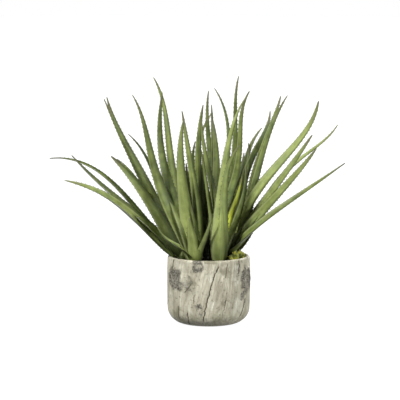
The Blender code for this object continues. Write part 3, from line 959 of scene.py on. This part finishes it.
def make_leaf_finish():
    """The skin of every leaf, from the marks that each blade carries."""
    made, tree, shader = new_material("aloe_skin")
    here = own_place(tree)
    flat = axes(tree, add_node(tree, "UVMap", uv_map="blade").outputs["UV"])
    lengthwise = add_node(tree, "CombineXYZ", {"X": flat["X"], "Z": flat["Y"]}).outputs[0]
    vein = use(tree, STREAKS, lengthwise, Fineness=700, Stretch=0.03, Low=0.3, High=0.7)
    bloom = use(tree, PATCHES, here, Scale=24, Low=0.42, High=0.68)
    cloud = use(tree, PATCHES, here, Scale=60, Detail=4, Low=0.3, High=0.7)
    jitter = times(tree, cloud, 0.24, -0.12)
    green = ramp(tree, sums(tree, "ADD", carried(tree, "tone"), jitter), LEAF_GREENS)
    share = carried(tree, "share")
    # Painted shade on the lower part of each blade, weaker on the right of the clump.
    left = spread(tree, axes(tree, here)["X"], 0.05, 0.02, 0.2, 1.0)
    painted_base_shade = times(tree, spread(tree, share, 0.22, 0.06), left)
    dry = spread(tree, times(tree, cloud, 0.12, share), 0.88, 1.06)
    colour = layered(
        tree,
        green,
        (bloom, 0.28, (0.10, 0.155, 0.080)),
        (vein, 0.22, (0.06, 0.08, 0.018)),
        (painted_base_shade, 0.45, (0.06, 0.08, 0.014)),
        # painted shade, nearly black, low in the middle of the clump
        (painted_clump_shade(tree, here), 0.85, (0.010, 0.015, 0.002)),
        (dry, 0.8, (0.13, 0.115, 0.075)),
        *painted_flanks_and_teeth(tree),
    )
    painted(tree, shader, colour, spread(tree, cloud, 0, 1, 0.38, 0.54))
    shader.inputs["Specular IOR Level"].default_value = 0.22
    raised(tree, shader, times(tree, cloud, 0.8, vein), 0.25 * MM, 0.7)
    return made


leaf_finish = make_leaf_finish()

# %% [markdown]
# ## The rosettes
#
# Each rosette is a short stem in the soil with its leaves set round it. A leaf's root starts at the
# stem and leans towards its knee. Three young leaves stand tight in its heart. Leaves overlap where
# they clasp the stem, so they are gathered in one piece that stands for the rosette's CAD node.

# %% Leaf places
ROSETTES = {}


def note_rosette(name, stem, *leaves):
    """Notes down one rosette: its stem's place in millimetres, and its leaves."""
    ROSETTES[name] = (stem, [Leaf(*leaf) for leaf in leaves])


note_rosette(
    "rosette_left", (-48, -8),
    (((-129, -4, 203), (-209, 3, 280), (-288, 10, 297)), 19, -90, 0.35, 68, 0.72),
    (((-122, -21, 191), (-200, -35, 261), (-243, -50, 308)), 24, -90, 0.3, 62, 0.72),
    (((-136, -34, 197), (-178, -68, 235), (-254, -80, 266)), 31, -90, 0.62, 50, 0.7),
    (((-90, -27, 193), (-140, -33, 268), (-174, -46, 306)), 25, -90, 0.52, 25, 0.6),
    (((-96, -11, 214), (-122, -10, 268), (-171, -8, 370), (-183, 0, 409)), 33, -50, 0.5, 20, 0.72),
    (((-121, 5, 258), (-158, 24, 332), (-190, 30, 404)), 20, -60, 0.5, 20, 0.72),
    (((-88, 12, 227), (-112, 24, 294), (-147, 40, 339)), 16, -60, 0.2, 40),
)
note_rosette(
    "rosette_front_left", (-24, -42),
    (((-75, -45, 219), (-104, -47, 310), (-116, -49, 366), (-136, -44, 415)),
     34, -60, 0.45, 20, 0.9),
    (((-74, -25, 261), (-88, -6, 345), (-86, -2, 394), (-83, 0, 417)), 27, -80, 0.35, 20, 0.78),
    (((-45, -55, 240), (-50, -67, 310), (-44, -84, 374)), 35, 100, 0.78, 20, 0.85),
    (((-18, -34, 176), (-27, -35, 255), (-38, -35, 324), (-48, -34, 386)), 22, 90, 0.65),
    (((-19, -44, 154), (-25, -52, 187), (-31, -58, 219)), 12, -90, 0.3, 30),
    (((-28, -60, 154), (-32, -68, 177), (-34, -74, 200)), 30, 95, 0.7, 30),
    (((-44, -56, 140), (-69, -68, 157), (-91, -80, 184)), 14, -90, 0.6, 60),
    (((-12, -58, 150), (-2, -70, 177), (5, -78, 207)), 14, -60, 0.85, 30),
)
note_rosette(
    "rosette_centre", (-4, 4),
    (((-54, 10, 221), (-70, 23, 296), (-82, 41, 390), (-101, 50, 442)), 25, -60, 0.65, 20, 0.7),
    (((-19, -1, 254), (-18, -8, 330), (-10, -14, 396)), 23, 90, 0.5, 20, 0.7),
    (((9, 10, 247), (8, 14, 320), (5, 20, 394)), 18, -100, 0.3),
    (((-18, 16, 264), (-10, 24, 349), (7, 30, 379)), 14, -90, 0.45),
    (((-24, 20, 236), (-29, 30, 284), (-24, 36, 327)), 22, -110, 0.2, 30),
    (((49, 12, 252), (60, 20, 282), (64, 26, 307)), 22, -100, 0.2),
    (((-9, 14, 224), (-9, 20, 274), (-6, 26, 323)), 24, -90, 0.15),
    (((-22, 12, 190), (-34, 16, 240), (-41, 20, 288)), 20, -90, 0.1),
)
note_rosette(
    "rosette_front_right", (18, -40),
    (((6, -30, 247), (-6, -28, 304), (-13, -24, 370)), 19, 80, 0.6),
    (((0, -40, 227), (-8, -46, 279), (-14, -52, 319)), 12, 90, 0.6),
    (((12, -18, 250), (12, -10, 315), (4, 0, 376)), 28, -70, 0.35),
    (((21, -57, 213), (33, -56, 319), (52, -55, 387), (67, -44, 412)), 34, 100, 0.8, 15, 1.15),
    (((28, -66, 260), (38, -72, 301), (54, -80, 328)), 22, -80, 0.7, 30),
    (((27, -10, 197), (44, 0, 282), (48, 4, 399), (54, 10, 446)), 18, -100, 0.35, 20, 0.7),
    (((23, -21, 198), (54, -16, 311), (56, -15, 350), (73, -14, 420)), 18, -90, 0.4, 20, 0.62),
    (((56, -20, 208), (65, -20, 245), (66, -20, 286)), 18, -100, 0.35),
    (((45, -36, 216), (52, -42, 238), (59, -48, 271)), 17, -90, 1.1),
    (((30, -22, 151), (35, -16, 177), (37, -10, 205)), 22, -80, 0.15),
)
note_rosette(
    "rosette_right", (34, 3),
    (((57, 24, 198), (69, 34, 270), (100, 38, 337), (112, 50, 381)), 26, -110, 0.25, 20, 0.72),
    (((65, 7, 179), (99, 10, 318), (125, 14, 392), (130, 18, 410)), 25, -105, 0.55, 20, 0.72),
    (((81, -4, 246), (104, -6, 330), (141, -8, 412)), 20, -110, 0.4),
    (((63, -16, 198), (115, -19, 276), (176, -21, 352), (195, -26, 403)), 27, -120, 0.72, 30, 0.56),
    (((93, -27, 212), (149, -37, 291), (183, -48, 344)), 25, -110, 0.6, 50, 0.56),
    (((97, 4, 209), (158, 4, 290), (209, 10, 330), (233, 16, 358)), 17, -110, 0.6, 50, 0.65),
    (((92, -36, 202), (150, -56, 270), (189, -70, 322)), 24, -95, 0.62, 30, 0.66),
    (((82, -57, 180), (197, -81, 267), (237, -100, 299)), 21, -90, 0.4, 56),
    (((50, -6, 159), (56, -8, 195), (60, -8, 227)), 20, -110, 0.7),
)
note_rosette(
    "rosette_back", (12, 46),
    (((7, 50, 267), (-2, 60, 352), (0, 70, 417)), 20, -90, 0.3),
    (((36, 56, 306), (32, 66, 370), (10, 80, 421)), 14, -90, 0.3, 30),
    (((63, 50, 261), (78, 60, 317), (99, 70, 349)), 22, -100, 0.35, 30),
    (((65, 44, 253), (72, 52, 288), (73, 58, 322)), 18, -90, 0.35),
    (((16, 96, 205), (14, 140, 251), (10, 200, 263)), 26, -90, 0.5, 70),
    (((52, 84, 229), (84, 120, 289), (102, 168, 313)), 24, -110, 0.45, 50),
    (((12, 80, 235), (14, 116, 291), (4, 156, 335)), 28, -90, 0.55, 40),
    (((-10, 90, 189), (-26, 140, 227), (-46, 190, 235)), 22, -80, 0.4, 70),
    (((36, 94, 189), (50, 144, 229), (60, 196, 239)), 24, -100, 0.6, 70),
)
note_rosette(
    "rosette_back_left", (-36, 36),
    (((-72, 70, 211), (-96, 104, 263), (-106, 150, 291)), 26, -60, 0.5, 60),
    (((-46, 64, 205), (-52, 92, 257), (-52, 120, 297)), 24, -80, 0.4, 30),
    (((-99, 52, 196), (-138, 84, 255), (-172, 118, 287)), 22, -60, 0.55, 70),
    (((-46, 84, 177), (-58, 132, 211), (-72, 180, 217)), 19, -80, 0.45, 75),
    (((-79, 46, 209), (-98, 60, 270), (-113, 80, 319)), 19, -60, 0.6, 40),
    (((-38, 30, 175), (-38, 34, 211), (-36, 36, 245)), 24, -90, 0.15),
)
print("leaves:", sum(len(leaves) for _, leaves in ROSETTES.values()))


# %% Growing a rosette
# A young leaf, in millimetres: its foot's height, its width, and how far out and up it goes.
YOUNG_FOOT = 117
YOUNG_WIDTH = 9
YOUNG_COURSE = ((4, 18), (7, 34), (12, 50))
STEM_LENGTH = 22 * MM
STEM_STANDS = 8 * MM


def young_leaves(x, y, chance):
    """Three short upright leaves in the heart of a rosette."""
    start = chance.uniform(0, 120)
    foot = Vector((x, y, YOUNG_FOOT))
    for number in range(3):
        turn = radians(start + 120 * number)
        away = Vector((cos(turn), sin(turn), 0))
        places = [tuple(foot + away * out + Vector((0, 0, up))) for out, up in YOUNG_COURSE]
        tone = chance.uniform(0.5, 0.8)
        yield Leaf(places, YOUNG_WIDTH, degrees(turn) + 180, tone, taper=0.85)


def add_stem(bm, x, y, ground):
    """The stem's stump, which stands in the soil."""
    place = Matrix.Translation((x, y, ground + STEM_STANDS - STEM_LENGTH / 2))
    foot, top = STEM_RADIUS, 0.6 * STEM_RADIUS
    bmesh.ops.create_cone(
        bm, cap_ends=True, segments=20, radius1=foot, radius2=top, depth=STEM_LENGTH, matrix=place
    )


def gather(bm, part):
    """Adds one bmesh to another through a mesh, which keeps its marks and map."""
    carrier = mesh_of("carrier", part)
    bm.from_mesh(carrier)
    bpy.data.meshes.remove(carrier)


def grow_rosette(name, stem, leaves, chance):
    """All the leaves of one rosette in one piece."""
    bm = bmesh.new()
    x, y = (v * MM for v in stem)
    ground = soil_top(x, y)
    for leaf in [*leaves, *young_leaves(*stem, chance)]:
        knee = leaf.places[0]
        outward = Vector((knee[0] * MM - x, knee[1] * MM - y, 0)).normalized()
        root = Vector((x, y, ground + ROOT_RISE)) + outward * ROOT_SPREAD
        gather(bm, make_leaf(leaf, root, chance))
    add_stem(bm, x, y, ground)
    finish_piece(name + "_leaves", bm, leaf_finish, [name], crease=42)


for number, (name, (stem, leaves)) in enumerate(ROSETTES.items()):
    grow_rosette(name, stem, leaves, random.Random(LEAF_SEED + number))

# %% [markdown]
# ## Floor, lamps and camera
#
# The plant stands on a pale floor that glows faintly, so that it stays white in the picture. Three
# soft far-off lamps light it: the brightest from high on the left, a weaker one on the right for
# the pot and the outer leaves, and one behind. A little pale light comes from all round. The camera
# looks slightly down from the front through a long lens.

# %% Floor
FLOOR_SIZE = 300
floor_bm = bmesh.new()
bmesh.ops.create_grid(floor_bm, x_segments=1, y_segments=1, size=FLOOR_SIZE)
floor = add_object("studio_floor", mesh_of("studio_floor", floor_bm))
floor.visible_diffuse = False


def make_floor_finish():
    """Matt white that glows a little."""
    made, tree, shader = new_material("pale_floor")
    haze = use(tree, PATCHES, own_place(tree), Scale=3, Low=0.0, High=1.0)
    pale = ramp(tree, haze, [(0, (0.08, 0.08, 0.079)), (1, (0.09, 0.09, 0.089))])
    painted(tree, shader, pale, 0.9)
    shader.inputs["Emission Color"].default_value = (1, 1, 1, 1)
    shader.inputs["Emission Strength"].default_value = 0.94
    return made


floor.data.materials.append(make_floor_finish())


# %% Lamps
MIDDLE = Vector((0, 0, 0.22))


def add_sun(name, direction, softness, power):
    """A soft far-off lamp that shines evenly from one direction."""
    light = bpy.data.lights.new(name, "SUN")
    light.angle = radians(softness)
    light.energy = power
    lamp = add_object(name, light)
    lamp.location = MIDDLE + Vector(direction)
    lamp.rotation_euler = Vector(direction).to_track_quat("Z", "Y").to_euler()


add_sun("key_sun", (-1.5, -1.3, 1.9), 10, 4.6)
add_sun("fill_sun", (1.8, -1.5, 0.95), 30, 3.0)
add_sun("back_sun", (0.8, 1.9, 1.0), 40, 3.0)


def light_air(seen, shining):
    """A white surround: one strength where the camera looks into it, another as a light."""
    world = bpy.data.worlds.new("studio_air")
    world.use_nodes = True
    tree = world.node_tree
    strength = add_node(tree, "MapRange", {"To Min": shining, "To Max": seen}).outputs[0]
    feed(tree, strength.node.inputs["Value"], add_node(tree, "LightPath").outputs["Is Camera Ray"])
    air = tree.nodes["Background"]
    air.inputs["Color"].default_value = (1, 1, 1, 1)
    feed(tree, air.inputs["Strength"], strength)
    bpy.context.scene.world = world


light_air(seen=1.0, shining=0.10)
bpy.context.scene.view_settings.view_transform = "Standard"

# %% Camera
PICTURE = 400
VIEW_CENTRE = Vector((-0.0158, 0.0246, 0.2197))
VIEW_DISTANCE = 3.0
FAR = 1000
VIEW_DOWN = radians(6.4)
MM_PER_PIXEL = 1.818
lens = bpy.data.cameras.new("studio_camera")
lens.clip_end = FAR
lens.angle = 2 * atan(PICTURE / 2 * MM_PER_PIXEL * MM / VIEW_DISTANCE)
camera = add_object("studio_camera", lens)
back = Vector((0, -cos(VIEW_DOWN), sin(VIEW_DOWN)))
camera.location = VIEW_CENTRE + back * VIEW_DISTANCE
camera.rotation_euler = (pi / 2 - VIEW_DOWN, 0, 0)
bpy.context.scene.camera = camera
print("lens:", round(degrees(lens.angle), 2), "degrees")
